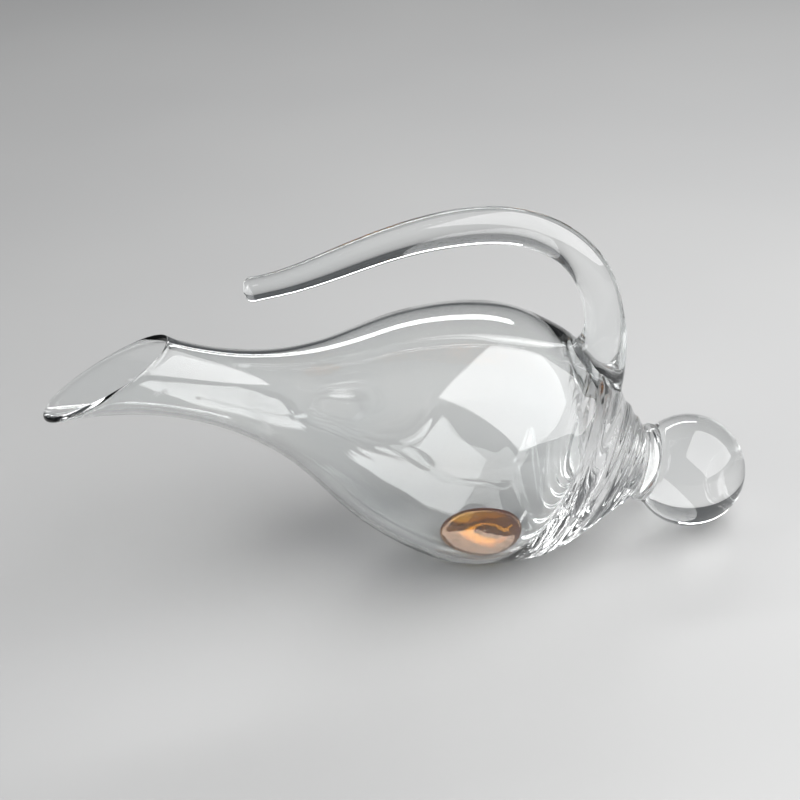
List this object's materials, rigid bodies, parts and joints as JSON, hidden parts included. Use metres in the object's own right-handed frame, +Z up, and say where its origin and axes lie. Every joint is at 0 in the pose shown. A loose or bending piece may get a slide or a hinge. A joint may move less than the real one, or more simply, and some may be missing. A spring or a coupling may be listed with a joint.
{
  "type": "wine decanter",
  "caption": "Clear glass duck-style decanter lying on its belly, with a slanted flared mouth, twisted ribbed shoulder, open rod handle and ball foot.",
  "frame": {"origin": "middle of the footprint's bounding box, on the table", "axes": "+Z up, -X towards the mouth, +X towards the ball foot, handle in the plane Y = 0"},
  "size_m": [0.3408, 0.13, 0.1828],
  "materials": {
    "vessel_glass": "polished clear glass",
    "collar_glass": "polished clear glass",
    "ball_glass": "polished clear glass",
    "handle_glass": "polished clear glass",
    "wine": "clear amber liquid"
  },
  "bodies": {
    "root": {"vessel": "vessel_glass", "collar": "collar_glass", "ball_foot": "ball_glass", "handle": "handle_glass", "wine_residue": "wine"}
  },
  "joints": []
}
